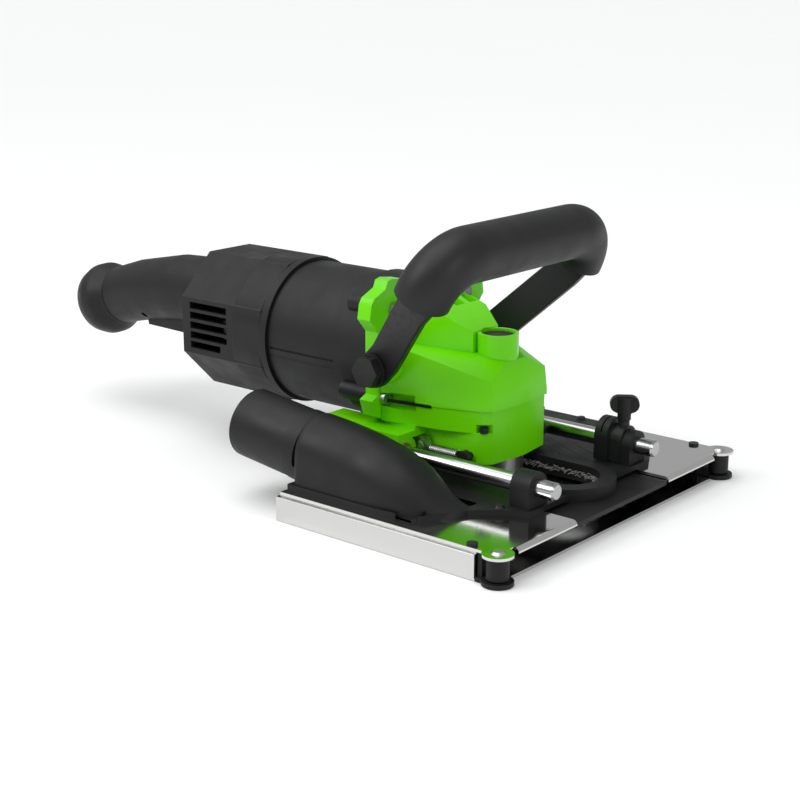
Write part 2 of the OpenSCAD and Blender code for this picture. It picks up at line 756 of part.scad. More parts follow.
module blade() {
    slots = 12;
    rim = blade_d / 2;
    color("darkgray") translate([spindle_x, 0, blade_z]) difference() {
        union() {
            translate([0, 0, -blade_t / 2]) cylinder(r = rim - 7, h = blade_t, $fn = 96);
            translate([0, 0, -blade_t / 2 - 0.2]) ring(rim, rim - 7 - eps, blade_t + 0.4, $fn = 96);
        }
        translate([0, 0, -5]) cylinder(r = 7, h = 10);
        for (i = [0 : slots - 1]) rotate([0, 0, i * 360 / slots])
            translate([rim - 13, -0.8, -5]) cube([20, 1.6, 10]);
    }
}

module clamp_nut() {
    color("gray") translate([spindle_x, 0, 0]) difference() {
        translate([0, 0, 2.8]) cylinder(r = 15, h = blade_z - blade_t / 2 - 2.8);
        cylinder(r = 7, h = 20);
        for (i = [0 : 3]) rotate([0, 0, i * 90]) translate([10.8, 0, 0]) cylinder(r = 2, h = 5);
    }
}

// ---------- motor ----------
module motor_housing() {
    color([0.17, 0.17, 0.18]) translate([0, 0, motor_z]) difference() {
        union() {
            rod_along_x(motor_x0, motor_x1, motor_r);
            rod_along_x(motor_x1 - 21, motor_x1, motor_r + 2);
            for (p = flange_screw_points) translate([0, p[0], p[1]])
                rod_along_x(motor_x1 - 21, motor_x1, 5.5);
        }
        rod_along_x(motor_x0 - 1, motor_x1 - 24, motor_r - motor_t);
        rod_along_x(motor_x1 - 25, motor_x1 + 1, motor_r - motor_t);
        for (p = flange_screw_points) translate([0, p[0], p[1]])
            rod_along_x(motor_x1 - 12, motor_x1 + 1, 2.2);
        // Grip grooves low on both flanks
        for (i = [0 : 3]) both_sides() translate([motor_x0 + 8, motor_r - 1.2, -4 - 5 * i])
            cube([52, 3, 1.4]);
    }
}

module stator() {
    color("dimgray") translate([0, 0, motor_z]) difference() {
        rod_along_x(stator_x0, stator_x1, motor_r - motor_t);
        rod_along_x(stator_x0 - 1, stator_x1 + 1, stator_r0);
        both_sides() translate([stator_x0 - 1, 0, 0]) rotate([0, 90, 0])
            translate([0, 31, 0]) cylinder(r = 5, h = stator_x1 - stator_x0 + 2);
    }
}

module field_coils() {
    color("chocolate") translate([0, 0, motor_z]) {
        tube_along_x(stator_x0 - 9, stator_x0, coil_r, 27);
        tube_along_x(stator_x1, stator_x1 + 7, coil_r, 27);
    }
}

module fan_baffle() {
    color([0.25, 0.25, 0.27]) translate([0, 0, motor_z])
        tube_along_x(fan_x0 - 3.5, fan_x0 - 2, motor_r - motor_t, 26);
}

module armature_shaft() {
    color("lightgray") translate([0, 0, motor_z]) {
        rod_along_x(rear_bearing_x, pinion_x0, shaft_r - 1);
        rod_along_x(pinion_x0 - eps, pinion_x1 - 1, 3.5);
    }
}

module armature_core() {
    bars = 12;
    color("dimgray") translate([0, 0, motor_z]) difference() {
        rod_along_x(stator_x0 + 1, stator_x1 - 1, core_r);
        rod_along_x(stator_x0, stator_x1, shaft_r - 1);
        for (i = [0 : bars - 1]) rotate([i * 360 / bars, 0, 0])
            translate([stator_x0, -1, core_r - 4]) cube([stator_x1 - stator_x0, 2, 6]);
    }
}

module commutator() {
    color("peru") translate([0, 0, motor_z])
        tube_along_x(rear_x1 - 40, rear_x1 - 20, 14, shaft_r - 1);
}

module cooling_fan() {
    blades = 11;
    color([0.2, 0.2, 0.22]) translate([0, 0, motor_z]) difference() {
        union() {
            rod_along_x(fan_x0, fan_x0 + 2, fan_r);
            rod_along_x(fan_x0, fan_x0 + 10, 10);
            for (i = [0 : blades - 1]) rotate([i * 360 / blades, 0, 0])
                translate([fan_x0, -0.8, 9]) cube([9, 1.6, fan_r - 10]);
        }
        rod_along_x(fan_x0 - 1, fan_x0 + 12, shaft_r - 1);
    }
}

module pinion() {
    teeth = 11;
    color("slategray") translate([0, 0, motor_z]) difference() {
        union() {
            rod_along_x(pinion_x0, pinion_x0 + 6, 8.5);
            translate([pinion_x0 + 6 - eps, 0, 0]) rotate([0, 90, 0])
                cylinder(r1 = 8.3, r2 = 6.2, h = pinion_x1 - pinion_x0 - 6);
        }
        rod_along_x(pinion_x0 - 1, pinion_x1 + 1, 3.5);
        for (i = [0 : teeth - 1]) rotate([i * 360 / teeth, 0, 0])
            translate([pinion_x0 + 8, -0.5, 6]) cube([20, 1, 6]);
    }
}

module front_bearing() {
    color("silver") translate([0, 0, motor_z])
        tube_along_x(flange_x0, flange_x0 + front_bearing_w, front_bearing_r, shaft_r - 1);
}

module rear_bearing() {
    color("silver") translate([0, 0, motor_z])
        tube_along_x(rear_bearing_x, rear_bearing_x + rear_bearing_w, rear_bearing_r, shaft_r - 1);
}

// Carbon brushes in their brass holders, bearing on the commutator
module carbon_brushes() {
    color([0.3, 0.3, 0.3]) both_sides() translate([rear_x1 - 35, 14 + run, motor_z - 4])
        cube([10, 24, 8]);
}

module rear_housing() {
    wall = 3;
    outer = rear_r / cos(22.5);
    color([0.17, 0.17, 0.18]) translate([0, 0, motor_z]) difference() {
        union() {
            rotate([22.5, 0, 0]) rod_along_x(rear_x0, rear_x1, outer, $fn = 8);
            rod_along_x(rear_x1 - eps, rear_x1 + 6, motor_r + 2.2);
        }
        difference() {
            rotate([22.5, 0, 0]) rod_along_x(rear_x0 + wall, rear_x1 - 5, outer - wall / cos(22.5),
                $fn = 8);
            // Bearing seat on the rear wall
            rod_along_x(rear_x0, rear_bearing_x + rear_bearing_w, rear_bearing_r + 3);
            // Brush holder blocks
            both_sides() translate([rear_x1 - 37, 26, -6]) cube([14, 16, 12]);
        }
        rod_along_x(rear_x1 - 6, rear_x1 + 7, motor_r);
        rod_along_x(rear_bearing_x, rear_bearing_x + rear_bearing_w + 1, rear_bearing_r);
        rod_along_x(rear_bearing_x - 2, rear_bearing_x + 1, shaft_r);
        both_sides() translate([rear_x1 - 35, 20, -4]) cube([10, 18 + run, 8]);
        // Louvres on both flanks
        for (i = [0 : 4]) both_sides() translate([rear_x0 + 7, rear_r - wall - 1, 11 - 6.4 * i])
            cube([i == 4 ? 27 : 33, wall + 3, 4.4]);
    }
}

module rear_screws() {
    color("silver") for (p = [[-27, 27], [27, 27], [-27, -27], [27, -27]])
        translate([0, p[0], motor_z + p[1]]) rod_along_x(rear_x0 - 2, rear_x0, 3.6);
}

// ---------- stick handle ----------
// Outer form of the stick, or its inside when g is the wall
module stick_form(g) {
    for (i = [0 : 2]) hull() {
        stick_ring(stick[i], g);
        stick_ring(stick[i + 1], g);
    }
}

module stick_ring(s, g) {
    translate([s[0], 0, s[1]]) rotate([0, -90 - s[3], 0]) cylinder(r = s[2] - g, h = 1, $fn = 32);
}

module handle_half() {
    difference() {
        intersection() {
            stick_form(0);
            translate([-600, 0.05, 0]) cube([600 + rear_x0, 60, 200]);
        }
        stick_form(shell_t);
        translate([knob_x + 6, 0, knob_z + 2]) rotate([0, -90 - knob_slope, 0]) cylinder(r = 15, h = 20);
        translate([rear_x0 - 1, 0, stick[0][1]]) rod_along_x(0, 3, stick_r - shell_t);
        // Opening for the trigger
        translate([trigger_x - 1, -1, trigger_z - 30]) cube([69, 8.9, 38]);
        translate([trigger_x + 5, 0, trigger_z + 1]) rod_along_y(-1, 30, 2);
    }
}

module handle_near() {
    color([0.17, 0.17, 0.18]) mirror([0, 1, 0]) handle_half();
}

module handle_far() {
    color([0.17, 0.17, 0.18]) handle_half();
}

// Flared end with the cord inlet
module handle_knob() {
    color([0.17, 0.17, 0.18]) translate([knob_x, 0, knob_z]) rotate([0, -knob_slope, 0]) difference() {
        rotate([0, -90, 0]) rotate_extrude($fn = 48) polygon([[0, -3], [14.8, -3], [14.8, 0],
            [stick_r - 3, 0], [stick_r - 2.5, 3], [knob_r - 1.6, 8.5], [knob_r - 0.2, 12], [knob_r, 18],
            [knob_r - 2.2, 25], [knob_r - 7, 31], [knob_r - 14, 34.5], [0, 36]]);
        rod_along_x(-40, 10, 5);
    }
}

module switch_block() {
    color([0.3, 0.3, 0.3]) translate([rear_x0 - 36.3, -9, motor_z + 3.5]) cube([36, 18, 19]);
}

module trigger() {
    color([0.14, 0.14, 0.15]) difference() {
        translate([trigger_x, 7.2, trigger_z]) rotate([90, 0, 0]) linear_extrude(14.4)
            polygon([[0, -3], [1, -7.4], [34, -8], [64, -7.5], [67, -5], [67, 5], [34, 7], [2, 5]]);
        translate([trigger_x + 5, 0, trigger_z + 1]) rod_along_y(-10, 10, 2 + run);
    }
}

module trigger_pin() {
    color("silver") translate([trigger_x + 5, 0, trigger_z + 1]) rod_along_y(-11, 11, 2);
}

// ---------- bail handle ----------
module arm_place() {
    translate([bail_x, 0, bail_z]) rotate([0, arm_lean, 0]) children();
}

// Plane of the grip, starting at the arms' ends
module grip_place() {
    translate([bail_x + arm_len * sin(arm_lean), 0, bail_z + arm_len * cos(arm_lean)])
        rotate([0, grip_lean, 0]) children();
}

// Flat bars, straight at the pivot and splayed out to the ends of the grip
module bail_arms() {
    y0 = lug_y + 0.4;
    y1 = bail_y - arm_t / 2;
    splay = arm_w / 2 + 0.8;
    color([0.12, 0.12, 0.12]) both_sides() difference() {
        arm_place() intersection() {
            rotate([90, 0, 90]) translate([0, 0, -arm_w / 2]) linear_extrude(arm_w) polygon([
                [y0, -arm_w / 2], [y0, splay], [y1, arm_len - 9], [y1, arm_len + 6],
                [y1 + arm_t, arm_len + 6], [y1 + arm_t, arm_len - 10], [y0 + arm_t, splay - 0.5],
                [y0 + arm_t, -arm_w / 2]]);
            // Round end about the pivot
            translate([0, bail_y + 10, 0]) rotate([90, 0, 0]) linear_extrude(40) union() {
                circle(r = arm_w / 2);
                translate([-arm_w / 2, 0]) square([arm_w, arm_len + 6]);
            }
        }
        arm_place() rod_along_y(y0 - 1, y0 + 20, 4 + run);
        grip_place() translate([-40, 40, 0]) cube([80, 60, 40]);
    }
}

// U path in the grip's plane, as a bar of radius r with a core of radius r_in
module bail_u(r, r_in) {
    side = bail_y - bail_bend;
    both_sides() translate([0, side, 0]) rotate([90, 0, 90])
        rotate_extrude(angle = 90) translate([bail_bend, 0]) bail_section(r, r_in);
    translate([0, side, bail_bend]) rotate([90, 0, 0]) linear_extrude(2 * side) bail_section(r, r_in);
}

module bail_section(r, r_in) {
    difference() {
        circle(r = r);
        circle(r = r_in);
    }
}

module bail_core() {
    color("dimgray") grip_place() bail_u(core_r_bail, core_r_bail - 2);
}

module bail_grip() {
    color([0.22, 0.22, 0.23]) grip_place() bail_u(grip_r, core_r_bail);
}

module bail_bolts() {
    color([0.15, 0.15, 0.15]) both_sides() translate([bail_x, 0, bail_z]) {
        rod_along_y(40, lug_y + 0.4 + arm_t + 0.3, 4);
        rod_along_y(lug_y + 0.4 + arm_t + 0.3, lug_y + 7.2, 10);
        rod_along_y(lug_y + 7.2, lug_y + 13, 9.4, $fn = 6);
    }
}

base_tray();
top_plate();
corner_blocks();
plate_screws();
dust_hood();
dust_port();
hood_screws();
guide_rod_near();
guide_rod_far();
rod_set_screws();
front_brush();
window_brush();
roller_pins();
roller_near();
roller_far();
spring_anchors();
return_spring_near();
return_spring_far();
depth_stop();
depth_stop_screw();
carriage_housing();
slide_bushes();
bearing_cap();
spring_bolts();
housing_screws();
gear_case();
flange_screws();
lock_button();
lock_spring();
spindle();
crown_gear();
upper_bearing();
lower_bearing();
inner_flange();
blade();
clamp_nut();
motor_housing();
stator();
field_coils();
fan_baffle();
armature_shaft();
armature_core();
commutator();
cooling_fan();
pinion();
front_bearing();
rear_bearing();
carbon_brushes();
rear_housing();
rear_screws();
handle_near();
handle_far();
handle_knob();
switch_block();
trigger();
trigger_pin();
bail_arms();
bail_core();
bail_grip();
bail_bolts();
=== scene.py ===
# Wall chaser: a motor with an angle gear head that slides on two rods over a thin
# stainless box, with a saw blade lying flat inside the box.
# +X is the cutting direction, +Y the side away from the dust port, +Z up. Metres.
import json
import random
from math import cos, pi, radians, sin

import bmesh
import bpy
from mathutils import Matrix, Vector


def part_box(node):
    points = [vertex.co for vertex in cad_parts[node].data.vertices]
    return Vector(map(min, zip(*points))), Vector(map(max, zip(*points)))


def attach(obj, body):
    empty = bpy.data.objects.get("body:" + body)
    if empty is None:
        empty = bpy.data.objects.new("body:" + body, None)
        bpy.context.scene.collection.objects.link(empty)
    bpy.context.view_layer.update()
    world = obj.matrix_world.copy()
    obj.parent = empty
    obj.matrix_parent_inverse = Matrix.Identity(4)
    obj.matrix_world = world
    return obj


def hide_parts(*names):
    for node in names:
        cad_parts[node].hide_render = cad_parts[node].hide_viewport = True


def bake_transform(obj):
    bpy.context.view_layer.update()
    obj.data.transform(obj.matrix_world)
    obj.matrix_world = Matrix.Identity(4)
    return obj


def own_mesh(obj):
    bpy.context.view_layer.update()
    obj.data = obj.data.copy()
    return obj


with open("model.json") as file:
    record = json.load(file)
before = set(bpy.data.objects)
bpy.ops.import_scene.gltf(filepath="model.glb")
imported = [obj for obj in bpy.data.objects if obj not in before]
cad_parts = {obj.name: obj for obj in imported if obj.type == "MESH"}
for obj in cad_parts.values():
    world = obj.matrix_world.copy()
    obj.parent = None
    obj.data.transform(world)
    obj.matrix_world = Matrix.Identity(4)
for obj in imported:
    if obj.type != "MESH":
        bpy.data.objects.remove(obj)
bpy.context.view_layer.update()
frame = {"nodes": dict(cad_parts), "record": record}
nodes = frame["nodes"]

# ---------------------------------------------------------------- studio
# A pale floor under the tool, a plain pale wall of light round it, and three
# large soft lamps. The camera looks down on the front near corner.
scene = bpy.context.scene
FLOOR_HALF = 16.0
FLOOR_DROP = 0.0002
SKY = (0.93, 0.94, 0.95, 1)
SKY_STRENGTH = 0.50

camera_data = bpy.data.cameras.new("studio_camera")
camera_data.sensor_width = 36.0
camera_data.lens = 70.91
camera = bpy.data.objects.new("studio_camera", camera_data)
scene.collection.objects.link(camera)
scene.camera = camera
camera.matrix_world = Matrix((
    (0.76650, -0.17504, 0.61793, 0.51213),
    (0.64225, 0.20771, -0.73782, -0.71108),
    (0.00080, 0.96240, 0.27162, 0.30530),
    (0, 0, 0, 1)))

world = bpy.data.worlds.new("studio_world")
scene.world = world
world.use_nodes = True
background = world.node_tree.nodes["Background"]
background.inputs["Color"].default_value = SKY
background.inputs["Strength"].default_value = SKY_STRENGTH
scene.view_settings.view_transform = "Standard"


def soft_lamp(name, place, target, size, power):
    """A square area lamp at a place, turned towards a target."""
    data = bpy.data.lights.new(name, "AREA")
    data.shape = "SQUARE"
    data.size = size
    data.energy = power
    lamp = bpy.data.objects.new(name, data)
    scene.collection.objects.link(lamp)
    lamp.location = place
    aim = Vector(target) - Vector(place)
    lamp.rotation_euler = aim.to_track_quat("-Z", "Y").to_euler()


def sky_lamp(name, direction, spread, power):
    """A very wide distant lamp, so the floor is lit evenly to its far edge."""
    data = bpy.data.lights.new(name, "SUN")
    data.angle = radians(spread)
    data.energy = power
    lamp = bpy.data.objects.new(name, data)
    scene.collection.objects.link(lamp)
    lamp.rotation_euler = Vector(direction).to_track_quat("-Z", "Y").to_euler()


def add_piece(name, form, material=None, smooth=False):
    """Turns a bmesh into an object in the scene and frees the bmesh."""
    if smooth:
        for face in form.faces:
            face.smooth = True
    mesh = bpy.data.meshes.new(name)
    form.to_mesh(mesh)
    form.free()
    if material is not None:
        mesh.materials.append(material)
    piece = bpy.data.objects.new(name, mesh)
    scene.collection.objects.link(piece)
    return piece


def close_ends(form):
    """Caps every open edge loop and turns all faces outwards."""
    bmesh.ops.holes_fill(form, edges=[edge for edge in form.edges if edge.is_boundary])
    bmesh.ops.recalc_face_normals(form, faces=form.faces)


sky_lamp("sky_over", (0.25, 0.30, -1.0), spread=70, power=2.05)
soft_lamp("lamp_left", (-0.9, -1.2, 1.1), (-0.1, 0, 0.06), size=0.7, power=7)
soft_lamp("lamp_front", (1.3, -0.3, 0.6), (0, 0, 0.05), size=0.5, power=3)

form = bmesh.new()
bmesh.ops.create_grid(form, x_segments=1, y_segments=1, size=FLOOR_HALF)
floor = add_piece("studio_floor", form)
floor.location.z = -FLOOR_DROP


# ---------------------------------------------------------------- finish tools
def noise_group():
    """Broken, cloudy mask: 0 below Low and 1 above High of a noise."""
    tree = bpy.data.node_groups.new("cloudy_mask", "ShaderNodeTree")
    tree.interface.new_socket("Vector", in_out="INPUT", socket_type="NodeSocketVector")
    for name, value in (("Scale", 40.0), ("Detail", 4.0), ("Low", 0.35), ("High", 0.65)):
        socket = tree.interface.new_socket(name, in_out="INPUT", socket_type="NodeSocketFloat")
        socket.default_value = value
    tree.interface.new_socket("Mask", in_out="OUTPUT", socket_type="NodeSocketFloat")
    given = tree.nodes.new("NodeGroupInput")
    result = tree.nodes.new("NodeGroupOutput")
    noise = tree.nodes.new("ShaderNodeTexNoise")
    spread = tree.nodes.new("ShaderNodeMapRange")
    for name in ("Vector", "Scale", "Detail"):
        tree.links.new(given.outputs[name], noise.inputs[name])
    tree.links.new(noise.outputs["Fac"], spread.inputs["Value"])
    tree.links.new(given.outputs["Low"], spread.inputs["From Min"])
    tree.links.new(given.outputs["High"], spread.inputs["From Max"])
    tree.links.new(spread.outputs["Result"], result.inputs["Mask"])
    return tree


cloudy_mask = noise_group()


class Finish:
    """A material whose colour, roughness and surface relief vary over the piece."""

    def __init__(self, name, colour, rough, metallic=0.0, coat=0.0, coat_rough=0.1):
        self.material = bpy.data.materials.new(name)
        self.material.use_nodes = True
        self.tree = self.material.node_tree
        self.shader = self.tree.nodes["Principled BSDF"]
        self.shader.inputs["Metallic"].default_value = metallic
        self.shader.inputs["Coat Weight"].default_value = coat
        self.shader.inputs["Coat Roughness"].default_value = coat_rough
        self.place = self.tree.nodes.new("ShaderNodeTexCoord").outputs["Object"]
        self.colour = None
        self.height = None
        self.rough = rough
        self.base = colour

    def node(self, kind, **values):
        made = self.tree.nodes.new(kind)
        for key, value in values.items():
            setattr(made, key, value)
        return made

    def join(self, start, end):
        self.tree.links.new(start, end)

    def maths(self, operation, first, second):
        """A maths node; each input is a number or another node's output."""
        made = self.node("ShaderNodeMath", operation=operation)
        for slot, value in zip(made.inputs, (first, second)):
            if isinstance(value, (int, float)):
                slot.default_value = value
            else:
                self.join(value, slot)
        return made.outputs[0]

    def stretched(self, scale):
        """Object place with each axis scaled, for marks that run one way."""
        mapping = self.node("ShaderNodeMapping")
        mapping.inputs["Scale"].default_value = scale
        self.join(self.place, mapping.inputs["Vector"])
        return mapping.outputs["Vector"]

    def mask(self, scale, low, high, detail=4.0, vector=None):
        """A cloudy mask with its own scale, thresholds and detail."""
        group = self.node("ShaderNodeGroup", node_tree=cloudy_mask)
        for key, value in (("Scale", scale), ("Detail", detail), ("Low", low), ("High", high)):
            group.inputs[key].default_value = value
        self.join(vector or self.place, group.inputs["Vector"])
        return group.outputs["Mask"]

    def tint(self, mask, other, amount=1.0):
        """Mixes another colour in where the mask is high."""
        mix = self.node("ShaderNodeMix", data_type="RGBA")
        self.join(self.maths("MULTIPLY", mask, amount), mix.inputs["Factor"])
        if self.colour is None:
            mix.inputs["A"].default_value = (*self.base, 1)
        else:
            self.join(self.colour, mix.inputs["A"])
        mix.inputs["B"].default_value = (*other, 1)
        self.colour = mix.outputs["Result"]
        return self

    def vary_rough(self, mask, low, high):
        """Lets the roughness run from low to high with the mask."""
        spread = self.node("ShaderNodeMapRange")
        self.join(mask, spread.inputs["Value"])
        spread.inputs["To Min"].default_value = low
        spread.inputs["To Max"].default_value = high
        self.join(spread.outputs["Result"], self.shader.inputs["Roughness"])
        self.rough = None
        return self

    def relief(self, mask, depth):
        """Adds a height in metres; several reliefs add up."""
        height = self.maths("MULTIPLY", mask, depth)
        self.height = height if self.height is None else self.maths("ADD", self.height, height)
        return self

    def done(self):
        """Joins what was set up to the shader and gives the material."""
        if self.colour is None:
            self.shader.inputs["Base Color"].default_value = (*self.base, 1)
        else:
            self.join(self.colour, self.shader.inputs["Base Color"])
        if self.rough is not None:
            self.shader.inputs["Roughness"].default_value = self.rough
        if self.height is not None:
            bump = self.node("ShaderNodeBump")
            bump.inputs["Strength"].default_value = 1.0
            bump.inputs["Distance"].default_value = 1.0
            self.join(self.height, bump.inputs["Height"])
            self.join(bump.outputs["Normal"], self.shader.inputs["Normal"])
        return self.material


def paint(material, *names):
    """Gives CAD nodes a material."""
    for name in names:
        slots = nodes[name].data.materials
        if len(slots):
            slots[0] = material
        else:
            slots.append(material)


def round_edges(piece, width, segments, angle):
    """Rounds a piece's sharp edges over, with its flat faces kept flat in shading."""
    rounding = piece.modifiers.new("rounded_edges", "BEVEL")
    rounding.width = width
    rounding.segments = segments
    rounding.limit_method = "ANGLE"
    rounding.angle_limit = radians(angle)
    evened = piece.modifiers.new("even_shading", "WEIGHTED_NORMAL")
    evened.keep_sharp = True


def softened(name, material, width, segments=2):
    """A CAD node's shape with its edges rounded over; it stands for that node."""
    mesh = nodes[name].data.copy()
    piece = bpy.data.objects.new(name + "_shaped", mesh)
    scene.collection.objects.link(piece)
    mesh.materials.clear()
    mesh.materials.append(material)
    shape = bmesh.new()
    shape.from_mesh(mesh)
    bmesh.ops.remove_doubles(shape, verts=shape.verts, dist=WELD)
    bmesh.ops.dissolve_limit(shape, angle_limit=radians(FLAT_WITHIN), verts=shape.verts,
                             edges=shape.edges)
    for face in shape.faces:
        face.smooth = True
    shape.to_mesh(mesh)
    shape.free()
    round_edges(piece, width, segments, SHARP_FROM)
    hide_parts(name)
    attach(piece, body_of[name])
    return piece


body_of = {node: body for body, members in frame["record"]["behaviour"]["bodies"].items()
           for node in members}
WELD = 0.00002
FLAT_WITHIN = 1.0
SHARP_FROM = 30

# ---------------------------------------------------------------- stainless box
# The blade runs in a box of folded 1.5 mm stainless sheet: a floor tray that is
# polished where it rubs along the wall, and a satin cover plate folded inside it.
polished_sheet = Finish("polished_stainless_sheet", (0.60, 0.60, 0.59), 0.16, metallic=1.0)
polished_sheet.vary_rough(polished_sheet.mask(30, 0.3, 0.7), 0.12, 0.24)
lines = polished_sheet.mask(900, 0.2, 0.8, vector=polished_sheet.stretched((0.04, 1, 1)))
polished_sheet.relief(lines, 0.000002)
polished_sheet = polished_sheet.done()

satin_sheet = Finish("satin_stainless_sheet", (0.66, 0.66, 0.64), 0.12, metallic=1.0)
lines = satin_sheet.mask(1400, 0.2, 0.8, vector=satin_sheet.stretched((0.03, 1, 1)))
satin_sheet.vary_rough(satin_sheet.mask(25, 0.3, 0.7), 0.07, 0.16).relief(lines, 0.0000015)
satin_sheet.tint(satin_sheet.mask(60, 0.5, 0.9), (0.58, 0.58, 0.57), 0.5)
satin_sheet = satin_sheet.done()

softened("base_tray", polished_sheet, 0.0003)
softened("top_plate", satin_sheet, 0.0004)

# ---------------------------------------------------------------- rollers and corner blocks
# Two rubber-faced rollers on steel pins keep the box off the guide batten; each
# turns in a moulded nylon block at a front corner.
def moulding(name):
    """Fine-grained black nylon, still open for what one piece adds to it."""
    finish = Finish(name, (0.009, 0.009, 0.0095), 0.42)
    finish.shader.inputs["Specular IOR Level"].default_value = 0.26
    finish.vary_rough(finish.mask(70, 0.3, 0.7), 0.42, 0.58)
    finish.tint(finish.mask(35, 0.5, 0.8), (0.013, 0.013, 0.013), 0.5)
    finish.relief(finish.mask(2600, 0.2, 0.8, detail=2), 0.00001)
    return finish


black_moulding = moulding("black_moulding").done()

zinc_plate = Finish("zinc_plated_steel", (0.52, 0.52, 0.51), 0.3, metallic=1.0)
zinc_plate.vary_rough(zinc_plate.mask(250, 0.3, 0.7), 0.24, 0.42)
zinc_plate.relief(zinc_plate.mask(1800, 0.2, 0.8), 0.000004)
zinc_plate = zinc_plate.done()

black_steel = Finish("blackened_steel", (0.014, 0.014, 0.015), 0.40, metallic=0.15)
black_steel.shader.inputs["Specular IOR Level"].default_value = 0.32
black_steel.vary_rough(black_steel.mask(300, 0.3, 0.7), 0.34, 0.52)
black_steel.relief(black_steel.mask(1500, 0.2, 0.8), 0.000006)
black_steel = black_steel.done()

softened("corner_blocks", black_moulding, 0.0004)
softened("roller_near", black_moulding, 0.0006)
softened("roller_far", black_moulding, 0.0006)
paint(zinc_plate, "roller_pins", "spring_anchors", "flange_screws", "rear_screws", "trigger_pin")
paint(black_steel, "plate_screws", "hood_screws", "housing_screws", "spring_bolts",
      "rod_set_screws")

# ---------------------------------------------------------------- dust hood
# One black moulding screwed on the cover: a grooved deck, the ring round the arbor
# window, two posts for the rods, and the duct that leads the dust to the round port.
GROOVE_TURN = -62
GROOVE_HALF_PITCH = 0.0045
GROOVE_WIDTH = 0.0006
GROOVE_DEPTH = 0.0006
GROOVES_FROM_Y = 0.031
GROOVES_TO_X = 0.036


def deck_moulding():
    """The hood's moulding, with slanted grooves across the flat far deck."""
    finish = moulding("deck_moulding")
    turned = finish.node("ShaderNodeMapping")
    turned.inputs["Rotation"].default_value = (0, 0, radians(GROOVE_TURN))
    finish.join(finish.place, turned.inputs["Vector"])
    across = finish.node("ShaderNodeSeparateXYZ")
    finish.join(turned.outputs["Vector"], across.inputs["Vector"])
    groove = finish.node("ShaderNodeMapRange", interpolation_type="SMOOTHSTEP")
    finish.join(finish.maths("PINGPONG", across.outputs["X"], GROOVE_HALF_PITCH),
                groove.inputs["Value"])
    groove.inputs["From Max"].default_value = GROOVE_WIDTH
    where = finish.node("ShaderNodeSeparateXYZ")
    finish.join(finish.place, where.inputs["Vector"])
    field = finish.maths("MULTIPLY",
                         finish.maths("GREATER_THAN", where.outputs["Y"], GROOVES_FROM_Y),
                         finish.maths("LESS_THAN", where.outputs["X"], GROOVES_TO_X))
    finish.relief(finish.maths("MULTIPLY", groove.outputs["Result"], field), GROOVE_DEPTH)
    return finish.done()


hood_finish = deck_moulding()
hood = softened("dust_hood", hood_finish, 0.0016, segments=3)
cover_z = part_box("top_plate")[1][2]
port_low, port_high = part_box("dust_port")
duct_y = (port_low[1] + port_high[1]) / 2
duct_half = (port_high[1] - port_low[1]) / 2

# The plain duct is taken off above the deck, from its flange at the port onwards.
DECK_HEIGHT = 0.0032
DUCT_START_X = -0.0690


def is_duct_roof(face):
    """Whether a face of the hood belongs to the duct that the shell stands for."""
    middle = face.calc_center_median()
    return (middle.z > cover_z + DECK_HEIGHT and middle.y < duct_y + duct_half
            and middle.x > DUCT_START_X)


form = bmesh.new()
form.from_mesh(hood.data)
bmesh.ops.delete(form, geom=[face for face in form.faces if is_duct_roof(face)], context="FACES")
form.to_mesh(hood.data)
form.free()

# The duct's roof is one smooth shell that sinks from the port to a round nose. Each
# station has its place along X, its top, its half width and its shift away from the
# port's axis. The shell reaches below the cover, where it can't be seen from above.
DUCT_STATIONS = (
    (-0.0718, 0.0572, 0.0214, 0), (-0.0700, 0.0570, 0.0214, 0), (-0.052, 0.0555, 0.0214, 0),
    (-0.034, 0.0530, 0.0214, 0), (-0.018, 0.0495, 0.0212, 0), (-0.005, 0.0450, 0.0205, 0.0004),
    (0.004, 0.0395, 0.0190, 0.0010), (0.011, 0.0335, 0.0168, 0.0016),
    (0.017, 0.0272, 0.0150, 0.0030), (0.0230, 0.0224, 0.0140, 0.0050),
    (0.0275, 0.0204, 0.0122, 0.0080), (0.0300, 0.0186, 0.0112, 0.0088))
DUCT_FOOT = 0.004
DUCT_SIDES = 28
form = bmesh.new()
bmesh.ops.create_circle(form, cap_ends=False, segments=DUCT_SIDES, radius=1.0,
                        matrix=Matrix.Rotation(pi / 2, 4, "Y"))
ring = list(form.verts)
edges = list(form.edges)
before = Matrix.Identity(4)
for x, top, half, shift in DUCT_STATIONS:
    high_r = min(half, top - cover_z + DUCT_FOOT)
    middle = Vector((x, duct_y + shift, top - high_r))
    place = Matrix.Translation(middle) @ Matrix.Diagonal((1, half, high_r, 1))
    if before != Matrix.Identity(4):
        grown = bmesh.ops.extrude_edge_only(form, edges=edges)["geom"]
        ring = [part for part in grown if isinstance(part, bmesh.types.BMVert)]
        edges = [part for part in grown if isinstance(part, bmesh.types.BMEdge)]
    bmesh.ops.transform(form, matrix=place @ before.inverted(), verts=ring)
    before = place
    for vert in ring:
        if vert.co.z < top - high_r:
            vert.co.y = duct_y + shift + half * (1 if vert.co.y > duct_y + shift else -1)
close_ends(form)
duct = add_piece("duct_roof", form, hood_finish, smooth=True)
smoothing = duct.modifiers.new("smooth_roof", "SUBSURF")
smoothing.levels = 2
smoothing.render_levels = 2
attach(duct, "base")
softened("dust_port", black_moulding, 0.0006)

